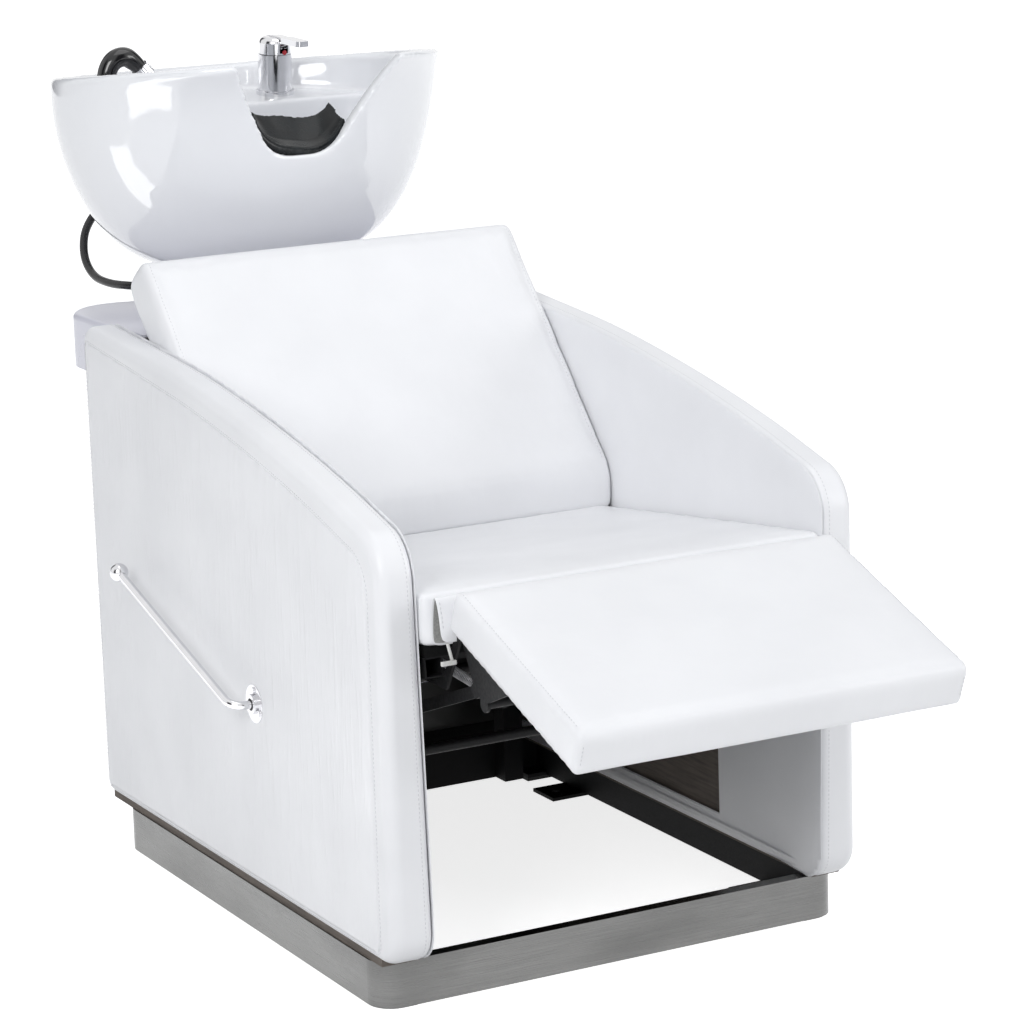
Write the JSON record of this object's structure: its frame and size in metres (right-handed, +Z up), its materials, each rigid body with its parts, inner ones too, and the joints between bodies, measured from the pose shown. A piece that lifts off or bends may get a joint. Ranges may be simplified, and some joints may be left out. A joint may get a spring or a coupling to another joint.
{
  "type": "backwash unit",
  "caption": "Salon shampoo chair: upholstered seat with a lever-raised leg rest on a steel plinth, and a tilting ceramic basin with mixer and hand shower behind it.",
  "frame": {"origin": "on the floor under the middle of the plinth, which is the centre of the floor bolt pattern", "axes": "+Z up, -Y the way the sitter faces, +Y towards the basin, +X to the right of a viewer in front"},
  "size_m": [0.7175, 1.6322, 1.0877],
  "materials": {
    "white_leather": "soft white upholstery leather, satin",
    "plywood": "bare birch plywood",
    "covered_board": "plywood covered underneath with black woven dust cloth",
    "brushed_stainless": "brushed along its length",
    "black_steel": "black powder coat",
    "zinc_steel": "zinc plated",
    "chrome": "polished chrome plate",
    "brass": "plain",
    "white_ceramic": "white gloss glaze",
    "white_shell": "smooth satin white",
    "black_rubber": "soft matte black",
    "black_gloss": "gloss black",
    "grey_plastic": "moulded grey",
    "indicator": "red and blue enamel"
  },
  "bodies": {
    "root": {"base_frame": "black_steel", "foot_pads": "black_rubber", "plinth_front": "brushed_stainless", "plinth_rear": "brushed_stainless", "plinth_sides": "brushed_stainless", "plinth_corners": "brushed_stainless", "left_panel_core": "plywood", "right_panel_core": "plywood", "left_panel_cover": "white_leather", "right_panel_cover": "white_leather", "panel_staples": "zinc_steel", "seat_frame": "black_steel", "seat_spacers": "black_rubber", "seat_board": "covered_board", "seat_cushion": "white_leather", "backrest_board": "plywood", "backrest_cushion": "white_leather", "backrest_brackets": "black_steel", "hinge_plates": "black_steel", "return_springs": "zinc_steel", "seat_flap": "white_leather", "shaft_bushes": "grey_plastic", "lever_flange": "chrome", "flange_screws": "chrome", "stretcher": "black_steel", "column": "black_steel", "rear_cap": "white_shell", "cap_floor": "white_shell", "hose_elbow": "black_gloss", "rear_panel": "white_shell", "door_hinge_frame": "zinc_steel", "basin_bracket": "black_steel"},
    "lever": {"torque_shaft": "black_steel", "shaft_collars": "zinc_steel", "lever_rod": "chrome", "lever_ball": "chrome"},
    "drive_links": {"drive_links": "black_steel"},
    "leg_rest": {"leg_rest_board": "covered_board", "leg_rest_cushion": "white_leather", "leg_rest_brackets": "black_steel", "leg_rest_tie": "black_steel"},
    "basin": {"basin": "white_ceramic", "neck_rest": "black_rubber", "drain_grid": "chrome", "waste_tail": "grey_plastic", "tilt_plate": "black_steel", "mixer_body": "chrome", "mixer_shank": "brass", "supply_tails": "brass", "shower_holder": "chrome", "shower_hose": "black_gloss"},
    "mixer_turret": {"mixer_turret": "chrome", "mixer_dot": "indicator"},
    "mixer_handle": {"mixer_handle": "chrome"},
    "hand_shower": {"hand_shower": "black_gloss", "shower_collar": "chrome", "shower_face": "grey_plastic"},
    "service_door": {"service_door": "white_shell", "door_hinge_leaf": "zinc_steel", "door_knob": "chrome"}
  },
  "joints": [
    {"name": "lever", "type": "hinge", "parent": "root", "child": "lever", "pos_m": [0, -0.077, 0.317], "axis": [1, 0, 0], "range_deg": [0, 90]},
    {"name": "leg_rest_hinge", "type": "hinge", "parent": "root", "child": "leg_rest", "pos_m": [0, -0.485, 0.483], "axis": [1, 0, 0], "range_deg": [0, 70.2], "deforming": ["seat_flap", "return_springs"]},
    {"name": "drive_link_pivot", "type": "hinge", "parent": "lever", "child": "drive_links", "pos_m": [0, -0.11065, 0.27439], "axis": [1, 0, 0], "range_deg": [-90.5, 0]},
    {"name": "basin_tilt", "type": "hinge", "parent": "root", "child": "basin", "pos_m": [0, 0.603, 0.748], "axis": [1, 0, 0], "range_deg": [-8, 8], "deforming": ["shower_hose"]},
    {"name": "mixer_swivel", "type": "hinge", "parent": "basin", "child": "mixer_turret", "pos_m": [0.107, 0.74519, 1.05281], "axis": [0, -0.0802, 0.9968], "range_deg": [-50, 50]},
    {"name": "mixer_lift", "type": "hinge", "parent": "mixer_turret", "child": "mixer_handle", "pos_m": [0.107, 0.74395, 1.06816], "axis": [-0.9848, -0.1731, -0.0139], "range_deg": [0, 25]},
    {"name": "hand_shower_pull", "type": "slide", "parent": "basin", "child": "hand_shower", "axis": [0, -0.0802, 0.9968], "range_m": [0, 0.06]},
    {"name": "service_door_hinge", "type": "hinge", "parent": "root", "child": "service_door", "pos_m": [-0.17075, 0.457, 0.33], "axis": [0, 0, 1], "range_deg": [0, 110]}
  ],
  "couplings": [
    {"joint": "leg_rest_hinge", "follows": "lever", "ratio": 0.7789},
    {"joint": "drive_link_pivot", "follows": "lever", "ratio": -1.003}
  ]
}
